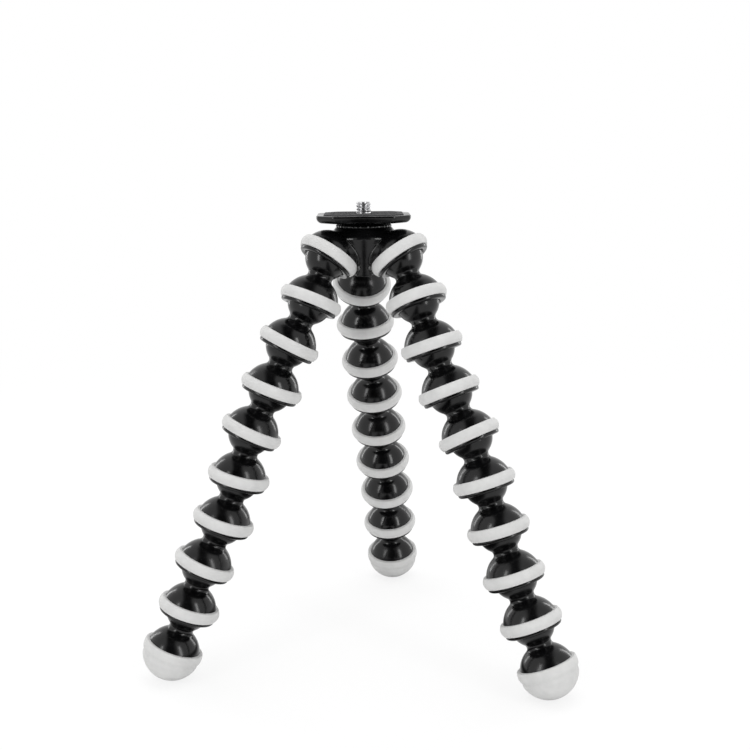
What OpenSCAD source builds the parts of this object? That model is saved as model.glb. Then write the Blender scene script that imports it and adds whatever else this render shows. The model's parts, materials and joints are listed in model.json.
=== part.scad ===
// Flexible leg tripod: a hub with three chains of ball-and-socket links, and a quick-release plate on top.
// The origin is on the mounting screw's axis, level with the top of the plate's pad. +Z is up.

/* [Leg links] */
// Distance from one ball's centre to the next along a leg
link_pitch = 20.5; // [19.5:0.1:22]
// Radius of each ball
ball_r = 9.5; // [9:0.1:10]
// Gap between a ball and its socket
ball_gap = 0.1; // [0.05:0.05:0.2]
// Radius of the hollow moulded into each ball
ball_core_r = 5.5; // [4:0.1:6]
// Depth of that hollow below the ball's centre
ball_core_depth = 5; // [2:0.5:6]
// Radius of the fillet round each neck
neck_fillet = 1.9; // [1.5:0.1:2.5]
// Wall of the dome over each socket
dome_wall = 2.3; // [2:0.1:3]
// Wall of the socket under the grip ring
seat_wall = 1.3; // [1:0.1:1.6]
// Distance from a socket's centre down to its rim
rim_drop = 3; // [2.5:0.1:3.4]
// Chamfer inside each socket's rim
rim_chamfer = 0.6; // [0.3:0.1:0.8]
// How far the rim's lip stands out from the ring's seat
lip_reach = 1.3; // [0.8:0.1:1.8]

/* [Grip rings] */
// Width of each grip ring
ring_w = 4.9; // [4:0.1:5.2]
// Thickness of each grip ring
ring_t = 2.55; // [2:0.05:3.2]
// Radius of the ring's crowned outside
ring_crown = 3.2; // [2.8:0.1:6]
// Height of the ring's middle above the socket's centre
ring_rise = 1; // [0.8:0.1:1.2]
// Gap between a rubber piece and the plastic that it sits on
rubber_gap = 0.05; // [0.03:0.01:0.1]

/* [Feet] */
// Wall of the rubber foot round its plug
foot_wall = 2.15; // [1.9:0.05:4]
// Step from that band in to the foot's round sole
foot_step = 0.2; // [0.1:0.05:0.4]
// Depth of the band below the foot's middle
foot_band_depth = 2.6; // [2:0.1:4]
// Radius of the stem inside the foot
stem_r = 6; // [4:0.5:7]
// Length of that stem
stem_len = 2; // [1.5:0.1:2.5]
// Radius of the button at the stem's end
button_r = 8; // [7.5:0.1:8.5]
// Thickness of that button
button_t = 2.5; // [1.5:0.1:3]

/* [Hub] */
// Distance from the hub's axis to each socket's centre
hub_spread = 18; // [17.5:0.1:20]
// Lean of each socket from the vertical, in degrees
socket_lean = 38; // [36:1:40]
// Height of the hub's flat top above the sockets' domes
hub_cap = 0.5; // [0.3:0.1:1]
// Distance from the socket centres down to the hub's flat underside
hub_drop = 8; // [6:0.5:9]
// Radius of each tapered arm at the hub's axis
arm_root_r = 9; // [8.5:0.1:9.5]
// Radius of each arm at its socket's centre
arm_end_r = 11.5; // [11:0.1:11.7]
// Height of the arms' middle at the hub's axis, above the socket centres
arm_rise = 1.2; // [0.8:0.1:1.8]
// Radius of the round body between the arms, at its flat top
turret_r = 12; // [11.5:0.1:12.5]
// Radius of that body's shoulder, its widest part
shoulder_r = 15.2; // [14.8:0.1:15.8]
// Distance from the hub's flat top down to the shoulder
shoulder_drop = 4.1; // [3:0.1:5]
// Radius of the body's lower end, at the hub's underside
turret_low_r = 11.5; // [11:0.1:12]
// Space left round each of the hub's grip rings
ring_space = 1; // [0.6:0.1:1.4]

/* [Plate and locking ring] */
// Width of the plate, side to side
plate_w = 40; // [36:1:46]
// Depth of the plate, front to back
plate_d = 36; // [34:1:44]
// Thickness of the plate
plate_t = 3.2; // [2.8:0.1:4]
// Size of the plate's cut corners
plate_corner = 7; // [4:0.5:9]
// Radius of the plate's rounded lower edge
plate_round = 2.6; // [1.5:0.1:2.7]
// Radius of the boss under the plate
boss_r = 9.2; // [8.5:0.1:9.4]
// Length of the boss under the plate
boss_len = 8; // [6.5:0.1:8.5]
// Gap round the boss, and round the neck inside the locking ring
turn_gap = 0.05; // [0.03:0.01:0.1]
// Gap between the plate and the locking ring
plate_gap = 0.4; // [0.3:0.1:1]
// Height of the locking ring
lock_h = 1.7; // [1.5:0.1:3]
// Wall of the locking ring
lock_wall = 1.4; // [1.2:0.1:2]
// Gap under the locking ring
lock_gap = 0.1; // [0.05:0.05:0.3]
// Wall of the hub's neck inside the locking ring
neck_wall = 1.3; // [1:0.1:1.6]
// Chamfer under the locking ring
lock_chamfer = 0.3; // [0.2:0.1:0.5]
// How far the locking ring's outside slopes in at the top
lock_slope = 0.9; // [0.5:0.1:1]

/* [Pad] */
// Thickness of the rubber pad
pad_t = 1.2; // [1:0.1:1.6]
// How far the pad stands above the plate
pad_proud = 0.4; // [0.3:0.1:0.8]
// Distance from the plate's edge in to the pad
pad_inset = 3; // [2:0.5:5]
// Gap round the screw in the pad
pad_hole_gap = 0.5; // [0.3:0.1:1]

/* [Mounting screw] */
// Radius of the screw's stud, a quarter inch across
stud_r = 3.175; // [3.175:0.001:3.18]
// Height of the stud above the pad
stud_h = 4.8; // [4:0.1:5.5]
// Chamfer on the stud's end
stud_chamfer = 0.5; // [0.3:0.1:0.8]
// Radius of the shank inside the plate
shank_r = 2.6; // [2.2:0.1:2.9]
// Gap round the shank
shank_gap = 0.07; // [0.03:0.01:0.1]
// Radius of the screw's head
head_r = 5.2; // [4:0.1:6]
// Thickness of the screw's head
head_t = 2.6; // [2:0.1:3]
// Gap round the screw's head
head_gap = 0.3; // [0.2:0.1:0.6]
// Width of the coin slot in the head
slot_w = 1.6; // [1:0.1:2]
// Depth of the coin slot
slot_depth = 1.2; // [0.8:0.1:1.6]

/* [Pose] */
// Lean of the left leg's links from the vertical, in degrees, from the hub down
left_angles = [26, 29, 23, 27, 17, 21, 26, 21];
// Lean of the right leg's links
right_angles = [27, 22, 25, 29, 21, 20, 22, 24];
// Lean of the rear leg's links
rear_angles = [37, 18, 24, 24, 23, 24, 26, 17];
// Lean of the rear foot, which sets the height that the tripod stands at
rear_foot_lean = 15; // [12:1:18]
// Turn of each leg's first link away from its socket, in degrees
first_turn_angles = [2, -15, 6];
// Turn of the links below it
leg_turn_angles = [-15, -6, -14];

/* [Hidden] */
$fn = 64;
LEGS = ["left", "right", "rear"];
LINKS = len(rear_angles);
LEAN = [left_angles, right_angles, rear_angles];
SOCKET_AZIMUTH = [-150, -30, 90];

function link_name(leg, i) = str(LEGS[leg], "_leg_link_", i);
function ring_name(leg, i) = str(LEGS[leg], "_leg_ring_", i);
function foot_link_name(leg) = str(LEGS[leg], "_leg_foot_link");
function foot_cap_name(leg) = str(LEGS[leg], "_leg_foot_cap");

HEAD_NODES = ["hub", "hub_grip_rings", "locking_ring", "quick_release_plate", "plate_pad", "camera_screw"];
LINK_NODES = [for (leg = [0:2]) for (i = [1:LINKS]) link_name(leg, i)];
RING_NODES = [for (leg = [0:2]) for (i = [1:LINKS]) ring_name(leg, i)];
FOOT_NODES = [for (leg = [0:2]) each [foot_link_name(leg), foot_cap_name(leg)]];

BLACK = [0.06, 0.06, 0.065];
WHITE = [0.86, 0.86, 0.85];
RUBBER = [0.12, 0.12, 0.12];
STEEL = [0.72, 0.72, 0.74];

// Cup sizes, measured from the socket's centre along its axis
socket_r = ball_r + ball_gap;
dome_r = socket_r + dome_wall;
seat_r = socket_r + seat_wall;
lip_r = seat_r + lip_reach;
ring_top = ring_rise + ring_w / 2;
ring_foot = ring_rise - ring_w / 2;
seat_top = ring_top + rubber_gap;
seat_foot = ring_foot - rubber_gap;
ring_in_r = seat_r + rubber_gap;
ring_r = ring_in_r + ring_t;
seat_overlap = 0.2;
lip_depth = rim_drop + seat_foot;
lip_round = 1.25 * lip_depth;

// The neck's fillet cuts this far into the ball and the dome, so that the surfaces cross
neck_bite = 0.01;
fillet_from_ball = ball_r + neck_fillet - neck_bite;
fillet_from_dome = dome_r + neck_fillet - neck_bite;
fillet_z = -(pow(link_pitch, 2) + pow(fillet_from_ball, 2) - pow(fillet_from_dome, 2)) / (2 * link_pitch);
fillet_x = sqrt(pow(fillet_from_ball, 2) - pow(fillet_z, 2));

// A foot's middle is where a link's ring has its middle
foot_reach = link_pitch - ring_rise;
foot_r = seat_r + rubber_gap + foot_wall;
sole_r = foot_r - foot_step;
button_top = -rim_drop - stem_len;

// Heights, down from the pad's top
plate_top_z = -pad_proud;
plate_bottom_z = plate_top_z - plate_t;
pad_bottom_z = -pad_t;
boss_bottom_z = plate_bottom_z - boss_len;
lock_top_z = plate_bottom_z - plate_gap;
lock_bottom_z = lock_top_z - lock_h;
hub_top_z = lock_bottom_z - lock_gap;
hub_rise = dome_r + hub_cap;
socket_z = hub_top_z - hub_rise;
hub_bottom_z = socket_z - hub_drop;
boss_space = 0.2;
head_bottom_space = 1;
head_bottom_z = boss_bottom_z + head_bottom_space;
head_top_z = head_bottom_z + head_t;
head_play = 0.1;
recess_top_z = head_top_z + head_play;

// Radii round the hub's axis
bore_r = boss_r + turn_gap;
neck_r = bore_r + neck_wall;
lock_in_r = neck_r + turn_gap;
lock_r = lock_in_r + lock_wall;
neck_low = 0.2;

// Pose of the legs: links are numbered from 1 at the hub, and the foot follows the last link
function drop(leg, i) = i == 0 ? 0 : drop(leg, i - 1) + link_pitch * cos(LEAN[leg][i - 1]);
stance = drop(2, LINKS) + foot_reach * cos(rear_foot_lean);
function lean(leg, i) = i <= LINKS ? LEAN[leg][i - 1] : acos((stance - drop(leg, LINKS)) / foot_reach);
function azimuth(leg, i) = SOCKET_AZIMUTH[leg] + (i == 1 ? first_turn_angles[leg] : leg_turn_angles[leg]);
function along(lean, azimuth) = [sin(lean) * cos(azimuth), sin(lean) * sin(azimuth), -cos(lean)];
function socket_at(leg) = [
    hub_spread * cos(SOCKET_AZIMUTH[leg]),
    hub_spread * sin(SOCKET_AZIMUTH[leg]),
    socket_z
];
function ball_at(leg, i) = i == 1
    ? socket_at(leg)
    : ball_at(leg, i - 1) + link_pitch * along(lean(leg, i - 1), azimuth(leg, i - 1));

// Places a link, drawn hanging straight down from its ball's centre
module at_link(leg, i) {
    translate(ball_at(leg, i))
        rotate([0, 0, azimuth(leg, i)])
            rotate([0, -lean(leg, i), 0])
                children();
}

// Places a cup of the hub, drawn facing straight down from its socket's centre
module at_socket(leg) {
    translate(socket_at(leg))
        rotate([0, 0, SOCKET_AZIMUTH[leg]])
            rotate([0, -socket_lean, 0])
                children();
}

// Half section of a ball, its neck and the dome below it, hollowed from the top
module ball_section() {
    difference() {
        union() {
            circle(ball_r);
            neck_section();
            translate([0, -link_pitch])
                dome_section();
        }
        translate([0, -ball_core_depth])
            square([ball_core_r, ball_core_depth + 2 * ball_r]);
    }
}

// Half section of the neck between a ball's centre and the socket's centre below it
module neck_section() {
    difference() {
        polygon([[0, 0], [0, -link_pitch], [fillet_x, fillet_z]]);
        translate([fillet_x, fillet_z])
            circle(neck_fillet);
    }
}

// Half section of a cup's dome, down to the shoulder above the ring
module dome_section() {
    intersection() {
        circle(dome_r);
        translate([0, seat_top])
            square(dome_r);
    }
}

// Half section of the ring's seat and the lip below it
module rim_section() {
    translate([0, -rim_drop])
        square([seat_r, rim_drop + seat_top + seat_overlap]);
    intersection() {
        translate([0, -rim_drop])
            square([2 * lip_r, lip_depth]);
        translate([lip_r - lip_round, seat_foot])
            circle(lip_round);
    }
}

// Half section of a socket's hollow, opened out at the rim
module socket_section() {
    mouth_z = rim_chamfer - rim_drop;
    mouth_r = sqrt(pow(socket_r, 2) - pow(mouth_z, 2));
    circle(socket_r);
    polygon([
        [0, mouth_z],
        [mouth_r, mouth_z],
        [mouth_r + 2 * rim_chamfer, mouth_z - 2 * rim_chamfer],
        [0, mouth_z - 2 * rim_chamfer]
    ]);
}

// Turns a half section about the Z axis
module turned() {
    reach = 2 * link_pitch;
    rotate_extrude()
        intersection() {
            children();
            translate([0, -reach])
                square([reach, 2 * reach]);
        }
}

// One moulded link: a ball, a neck and a cup
module link_body() {
    turned()
        difference() {
            union() {
                ball_section();
                translate([0, -link_pitch])
                    rim_section();
            }
            translate([0, -link_pitch])
                socket_section();
        }
}

// One rubber ring, round the socket's centre
module ring_body() {
    turned()
        intersection() {
            translate([ring_in_r, ring_foot])
                square([2 * ring_t, ring_w]);
            translate([ring_r - ring_crown, ring_rise])
                circle(ring_crown);
        }
}

// The last ball, with the plug that carries the foot
module foot_link_body() {
    turned() {
        ball_section();
        translate([0, -link_pitch])
            plug_section(0);
    }
}

// Half section of the plug inside a foot, grown by a gap: a seat, a stem and a button
module plug_section(gap) {
    translate([0, -rim_drop - gap])
        square([seat_r + gap, rim_drop + seat_top + seat_overlap + gap]);
    translate([0, button_top])
        square([stem_r + gap, stem_len]);
    translate([0, button_top - button_t - gap])
        square([button_r + gap, button_t + 2 * gap]);
}

// The rubber foot, round the last cup's centre
module foot_cap_body() {
    turned()
        difference() {
            translate([0, ring_rise]) {
                intersection() {
                    circle(foot_r);
                    translate([0, -foot_band_depth])
                        square([foot_r, foot_band_depth + ring_w / 2]);
                }
                intersection() {
                    circle(sole_r);
                    translate([0, -foot_r])
                        square([foot_r, foot_r]);
                }
            }
            plug_section(rubber_gap);
        }
}

module leg_link(leg, i) {
    color(BLACK)
        at_link(leg, i)
            link_body();
}

module leg_ring(leg, i) {
    color(WHITE)
        at_link(leg, i)
            translate([0, 0, -link_pitch])
                ring_body();
}

module foot_link(leg) {
    color(BLACK)
        at_link(leg, LINKS + 1)
            foot_link_body();
}

module foot_cap(leg) {
    color(WHITE)
        at_link(leg, LINKS + 1)
            translate([0, 0, -link_pitch])
                foot_cap_body();
}

// The round body in the middle of the hub, widest at its shoulder
module hub_middle() {
    rotate_extrude()
        polygon([
            [0, hub_bottom_z],
            [turret_low_r, hub_bottom_z],
            [shoulder_r, hub_top_z - shoulder_drop],
            [turret_r, hub_top_z],
            [0, hub_top_z]
        ]);
}

// The tapered arm from the hub's middle out to one socket's dome
module hub_arm(leg) {
    tilt = atan2(arm_rise, hub_spread);
    translate([0, 0, socket_z + arm_rise])
        rotate([0, 90 + tilt, SOCKET_AZIMUTH[leg]])
            cylinder(r1 = arm_root_r, r2 = arm_end_r, h = norm([hub_spread, arm_rise]));
    translate(socket_at(leg))
        sphere(dome_r);
}

// The room round one of the hub's rings and everything below it
module ring_room(leg) {
    room_len = 3 * hub_spread;
    at_socket(leg)
        translate([0, 0, seat_top - room_len])
            cylinder(r = ring_r + ring_space, h = room_len);
}

module hub() {
    reach = 3 * hub_spread;
    color(BLACK)
        difference() {
            union() {
                difference() {
                    union() {
                        hub_middle();
                        for (leg = [0:2])
                            hub_arm(leg);
                    }
                    for (leg = [0:2])
                        ring_room(leg);
                    translate([-reach, -reach, hub_bottom_z - 2 * reach])
                        cube(2 * reach);
                }
                for (leg = [0:2])
                    at_socket(leg)
                        turned()
                            rim_section();
                translate([0, 0, hub_top_z - neck_wall])
                    cylinder(r = neck_r, h = lock_top_z - neck_low - hub_top_z + neck_wall);
            }
            for (leg = [0:2])
                at_socket(leg)
                    turned()
                        socket_section();
            translate([0, 0, boss_bottom_z - boss_space])
                cylinder(r = bore_r, h = boss_len + boss_space + plate_gap);
        }
}

module hub_grip_rings() {
    color(WHITE)
        for (leg = [0:2])
            at_socket(leg)
                ring_body();
}

module locking_ring() {
    color(BLACK)
        translate([0, 0, lock_bottom_z])
            rotate_extrude()
                polygon([
                    [lock_in_r, 0],
                    [lock_r - lock_chamfer, 0],
                    [lock_r, lock_chamfer],
                    [lock_r, 2 * lock_chamfer],
                    [lock_r - lock_slope, lock_h],
                    [lock_in_r, lock_h]
                ]);
}

// Outline of the plate, drawn in by an inset
module plate_outline(inset) {
    half_w = plate_w / 2 - inset;
    half_d = plate_d / 2 - inset;
    corner = plate_corner - inset * (2 - sqrt(2));
    polygon([
        [half_w, half_d - corner],
        [half_w - corner, half_d],
        [corner - half_w, half_d],
        [-half_w, half_d - corner],
        [-half_w, corner - half_d],
        [corner - half_w, -half_d],
        [half_w - corner, -half_d],
        [half_w, corner - half_d]
    ]);
}

// The plate's solid, with its lower edge rounded in steps
module plate_slab() {
    steps = 6;
    layer = 0.01;
    hull() {
        translate([0, 0, plate_top_z - layer])
            linear_extrude(layer)
                plate_outline(0);
        for (k = [0:steps]) {
            turn = 90 * k / steps;
            translate([0, 0, plate_bottom_z + plate_round * (1 - sin(turn))])
                linear_extrude(layer)
                    plate_outline(plate_round * (1 - cos(turn)));
        }
    }
}

module quick_release_plate() {
    color(BLACK)
        difference() {
            union() {
                plate_slab();
                translate([0, 0, boss_bottom_z])
                    cylinder(r = boss_r, h = boss_len + plate_t / 2);
            }
            translate([0, 0, pad_bottom_z])
                linear_extrude(pad_t + pad_proud)
                    plate_outline(pad_inset);
            translate([0, 0, boss_bottom_z - boss_space])
                cylinder(r = head_r + head_gap, h = recess_top_z - boss_bottom_z + boss_space);
            translate([0, 0, boss_bottom_z])
                cylinder(r = shank_r + shank_gap, h = boss_len + plate_t + pad_proud);
        }
}

module plate_pad() {
    color(RUBBER)
        translate([0, 0, pad_bottom_z])
            difference() {
                linear_extrude(pad_t)
                    plate_outline(pad_inset + rubber_gap);
                translate([0, 0, -pad_t])
                    cylinder(r = stud_r + pad_hole_gap, h = 3 * pad_t);
            }
}

module camera_screw() {
    color(STEEL)
        difference() {
            union() {
                cylinder(r = stud_r, h = stud_h - stud_chamfer);
                translate([0, 0, stud_h - stud_chamfer])
                    cylinder(r1 = stud_r, r2 = stud_r - stud_chamfer, h = stud_chamfer);
                translate([0, 0, head_top_z - head_t / 2])
                    cylinder(r = shank_r, h = head_t / 2 - head_top_z + stud_h / 2);
                translate([0, 0, head_bottom_z])
                    cylinder(r = head_r, h = head_t);
            }
            translate([-2 * head_r, -slot_w / 2, head_bottom_z - slot_depth])
                cube([4 * head_r, slot_w, 2 * slot_depth]);
        }
}

hub();
hub_grip_rings();
locking_ring();
quick_release_plate();
plate_pad();
camera_screw();
for (leg = [0:2]) {
    for (i = [1:LINKS]) {
        leg_link(leg, i);
        leg_ring(leg, i);
    }
    foot_link(leg);
    foot_cap(leg);
}
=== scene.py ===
"""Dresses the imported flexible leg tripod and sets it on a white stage."""

import json
import math

import bmesh
import bpy
from bpy.props import FloatProperty, FloatVectorProperty, IntProperty, PointerProperty
from bpy.types import Operator, Panel, PropertyGroup
from mathutils import Matrix, Vector


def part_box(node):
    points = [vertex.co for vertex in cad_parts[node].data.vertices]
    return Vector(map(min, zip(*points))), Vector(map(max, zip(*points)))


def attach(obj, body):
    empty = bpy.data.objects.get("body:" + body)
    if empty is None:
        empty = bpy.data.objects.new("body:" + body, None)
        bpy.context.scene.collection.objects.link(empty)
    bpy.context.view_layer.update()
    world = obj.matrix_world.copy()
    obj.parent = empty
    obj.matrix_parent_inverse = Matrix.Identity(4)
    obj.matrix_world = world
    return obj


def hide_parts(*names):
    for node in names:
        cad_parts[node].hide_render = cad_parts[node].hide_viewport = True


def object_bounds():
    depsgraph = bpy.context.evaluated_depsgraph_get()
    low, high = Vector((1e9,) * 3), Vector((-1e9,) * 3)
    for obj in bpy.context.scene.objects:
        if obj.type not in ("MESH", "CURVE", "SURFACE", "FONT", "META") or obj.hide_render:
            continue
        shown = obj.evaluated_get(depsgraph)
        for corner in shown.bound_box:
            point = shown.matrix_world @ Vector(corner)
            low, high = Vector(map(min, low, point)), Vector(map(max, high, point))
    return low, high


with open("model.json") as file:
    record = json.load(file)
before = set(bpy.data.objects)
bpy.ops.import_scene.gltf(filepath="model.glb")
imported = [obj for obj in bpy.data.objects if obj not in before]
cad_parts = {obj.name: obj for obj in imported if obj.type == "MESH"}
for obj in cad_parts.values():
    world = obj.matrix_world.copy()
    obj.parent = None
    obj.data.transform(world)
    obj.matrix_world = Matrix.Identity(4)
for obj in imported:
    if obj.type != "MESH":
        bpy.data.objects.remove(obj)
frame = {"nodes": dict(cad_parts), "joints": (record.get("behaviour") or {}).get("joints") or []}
CAD_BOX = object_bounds()

bl_info = {
    "name": "Flexible Leg Tripod",
    "version": (1, 0, 0),
    "blender": (4, 5, 0),
    "location": "View3D > Sidebar > Tripod",
    "description": "Models the looks of a tripod with ball-jointed legs around its packed solids",
    "category": "Object",
}

LEGS = ("left", "right", "rear")
LINKS_PER_LEG = 8
FOOT_JOINT = LINKS_PER_LEG + 1
JOINT_AT = {j["name"]: Vector(j["pos_m"]) for j in frame["joints"] if "pos_m" in j}
LINK_PITCH = (JOINT_AT["left_ball_2"] - JOINT_AT["left_ball_1"]).length
DOWN = Vector((0.0, 0.0, -1.0))
MERGE_DISTANCE = 1e-6
SMOOTH_ANGLE = math.radians(32)
FACES_UP = 0.99
WIDE_FACE = 1e-4
SEED_SIZE = 0.001
CUTTER_DEPTH = 0.01
FLOOR_SIZE = 8.0
FLOOR_GAP = 0.0001
SCREEN_GAP = 0.001
WHITE = (1.0, 1.0, 1.0, 1.0)
CAMERA_AT = (0.0, -0.499, 0.0282)
CAMERA_TURNS = (0.0083, 0.1964, -0.0114)
SENSOR_MM = 36.0
LENS_MM = 55.2


def length(name, default, description):
    """A property that holds a length in metres."""
    return FloatProperty(
        name=name, description=description, default=default, min=0.0, precision=5, unit="LENGTH"
    )


def colour(name, default, description):
    """A property that holds a linear colour."""
    return FloatVectorProperty(
        name=name, description=description, default=default, size=3, min=0.0, max=1.0, subtype="COLOR"
    )


class TripodSizes(PropertyGroup):
    """Sizes of the moulded pieces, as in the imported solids."""

    ball_r: length("Ball radius", 0.0095, "Radius of each ball")
    core_r: length("Ball hollow radius", 0.0055, "Radius of the hollow in each ball")
    core_depth: length("Ball hollow depth", 0.005, "Depth of that hollow below the ball's centre")
    neck_fillet: length("Neck fillet", 0.0019, "Radius of the fillet round each neck")
    dome_r: length("Dome radius", 0.0119, "Radius of the dome over each socket")
    socket_r: length("Socket radius", 0.0096, "Radius of each socket")
    seat_r: length("Seat radius", 0.0109, "Radius under each grip ring")
    lip_r: length("Lip radius", 0.0122, "Radius of the lip below each grip ring")
    lip_round: length("Lip rounding", 0.0009, "Rounding of the lip's lower edge")
    rim_drop: length("Rim drop", 0.003, "Distance from a socket's centre down to its rim")
    rim_chamfer: length("Rim chamfer", 0.0006, "Chamfer inside each socket's rim")
    edge_round: length("Edge rounding", 0.0002, "Rounding of the moulded edges")
    ring_w: length("Ring width", 0.0049, "Width of each grip ring")
    ring_r: length("Ring radius", 0.0135, "Outer radius of each grip ring")
    ring_crown: length("Ring crown", 0.0032, "Radius of the ring's crowned outside")
    ring_edge: length("Ring edge", 0.0006, "Rounding of the ring's edges")
    ring_rise: length("Ring rise", 0.001, "Height of a ring's middle above the socket's centre")
    rubber_gap: length("Rubber gap", 0.00005, "Gap between the rubber and the plastic under it")
    foot_r: length("Foot radius", 0.0131, "Radius of the foot's upper band")
    sole_r: length("Sole radius", 0.0129, "Radius of the foot's round sole")
    crease_depth: length("Crease depth", 0.00045, "Depth of the crease between band and sole")
    crease_w: length("Crease width", 0.0011, "Half width of that crease")
    band_depth: length("Band depth", 0.0026, "Depth of the band below the foot's middle")
    stem_r: length("Stem radius", 0.006, "Radius of the stem inside the foot")
    button_r: length("Button radius", 0.008, "Radius of the button on that stem")
    button_top: length("Button drop", 0.005, "Distance from the last cup's centre down to the button")
    button_t: length("Button thickness", 0.0025, "Thickness of that button")
    skin_steps: IntProperty(
        name="Foot steps", description="Points down the outside of each foot", default=60, min=20
    )
    socket_lean: FloatProperty(
        name="Socket lean",
        description="Lean of the hub's sockets from the vertical",
        default=math.radians(38),
        subtype="ANGLE",
    )
    round_steps: IntProperty(
        name="Round steps", description="Faces round each turned piece", default=72, min=24, max=128
    )


class HeadSizes(PropertyGroup):
    """Sizes of the plate, the locking ring, the pad and the mounting screw."""

    plate_corner: length("Plate corner", 0.007, "Size of the plate's cut corners")
    plate_round: length("Plate rounding", 0.0025, "Rounding of the plate's lower edge")
    corner_round: length("Corner rounding", 0.0012, "Rounding of the plate's upright edges")
    top_round: length("Top rounding", 0.0004, "Rounding of the plate's top edge")
    plate_t: length("Plate thickness", 0.0032, "Thickness of the plate")
    boss_r: length("Boss radius", 0.0092, "Radius of the boss under the plate")
    head_recess_r: length("Recess radius", 0.0055, "Radius of the recess for the screw's head")
    pad_inset: length("Pad inset", 0.003, "Distance from the plate's edge in to the pad")
    groove_w: length("Groove width", 0.0008, "Width of the pad's grooves")
    groove_pitch: length("Groove pitch", 0.0022, "Distance between the pad's grooves")
    groove_depth: length("Groove depth", 0.0003, "Depth of the pad's grooves")
    thread_pitch: length("Thread pitch", 0.00127, "Pitch of the stud's thread")
    thread_depth: length("Thread depth", 0.00062, "Depth of the stud's thread")
    stud_r: length("Stud radius", 0.003175, "Radius of the stud")
    shank_r: length("Shank radius", 0.0026, "Radius of the shank in the plate")
    stud_chamfer: length("Stud chamfer", 0.0005, "Chamfer at the stud's tip")
    stud_room: length("Stud room", 0.0005, "Gap round the stud in the pad")
    head_t: length("Head thickness", 0.0026, "Thickness of the screw's head")
    head_play: length("Head play", 0.0001, "Gap above the screw's head")
    slot_w: length("Slot width", 0.0016, "Width of the head's coin slot")
    slot_depth: length("Slot depth", 0.0012, "Depth of the head's coin slot")
    hub_voxel: length("Hub voxel", 0.00036, "Grain of the hub's softened skin")
    hub_soften: FloatProperty(
        name="Hub softening", description="Strength of each softening round", default=0.5, max=1.0
    )
    hub_rounds: IntProperty(
        name="Hub rounds", description="Softening rounds over the hub's skin", default=6, min=1
    )
    lock_wall: length("Locking ring wall", 0.0014, "Wall of the locking ring")
    lock_slope: length("Locking ring slope", 0.0009, "How far the ring's outside slopes in at the top")
    grip_count: IntProperty(name="Grips", description="Grips round the locking ring", default=36, min=12)
    grip_depth: length("Grip depth", 0.00025, "Depth of the locking ring's grips")
    grip_share: FloatProperty(
        name="Grip share", description="Share of each step that a grip takes", default=0.45, max=1.0
    )
    thread_rows: IntProperty(
        name="Thread rows", description="Rows of points up the stud's thread", default=36, min=12
    )
    thread_flank: FloatProperty(
        name="Thread flank", description="Steepness of the thread's flanks", default=2.4, min=2.0
    )


class TripodColours(PropertyGroup):
    """Colours of the four finishes."""

    black_plastic: colour("Black plastic", (0.0012, 0.0012, 0.0013), "Moulded links, hub and plate")
    pale_rubber: colour("Pale rubber", (0.56, 0.56, 0.555), "Grip rings and feet")
    dark_rubber: colour("Dark rubber", (0.02, 0.02, 0.021), "Pad on the plate")
    steel: colour("Steel", (0.56, 0.56, 0.57), "Mounting screw")
    floor: colour("Floor", (0.9, 0.9, 0.9), "Floor under the tripod")


def select_only(obj):
    """Makes one object the only selected one, and active."""
    bpy.ops.object.select_all(action="DESELECT")
    obj.select_set(True)
    bpy.context.view_layer.objects.active = obj


def pick(obj, kind, test):
    """In edit mode, selects just the vertices, edges or faces that pass a test, and counts them."""
    bpy.ops.mesh.select_mode(type={"verts": "VERT", "edges": "EDGE", "faces": "FACE"}[kind])
    bpy.ops.mesh.select_all(action="DESELECT")
    mesh = bmesh.from_edit_mesh(obj.data)
    chosen = [part for part in getattr(mesh, kind) if test(part)]
    for part in chosen:
        part.select_set(True)
    mesh.select_flush_mode()
    bmesh.update_edit_mesh(obj.data)
    return len(chosen)


def arc(centre, radius, start, end, steps):
    """Points of an arc in a half section, between two angles in radians."""
    turns = [start + (end - start) * k / steps for k in range(steps + 1)]
    return [
        (centre[0] + radius * math.cos(turn), centre[1] + radius * math.sin(turn)) for turn in turns
    ]


def rounded(corners, steps=4):
    """A half section through corners (radius, height, rounding), with the rounded ones turned to arcs."""
    points = []
    last = len(corners) - 1
    for k, (x, z, size) in enumerate(corners):
        if size == 0.0 or k in (0, last):
            points.append((x, z))
            continue
        here = Vector((x, z))
        back = (Vector(corners[k - 1][:2]) - here).normalized()
        ahead = (Vector(corners[k + 1][:2]) - here).normalized()
        half = back.angle(ahead) / 2
        centre = here + (back + ahead).normalized() * (size / math.sin(half))
        first = here + back * (size / math.tan(half)) - centre
        second = here + ahead * (size / math.tan(half)) - centre
        start = math.atan2(first.y, first.x)
        sweep = (math.atan2(second.y, second.x) - start + math.pi) % (2 * math.pi) - math.pi
        points += arc(centre, size, start, start + sweep, steps)
    return points


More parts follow.
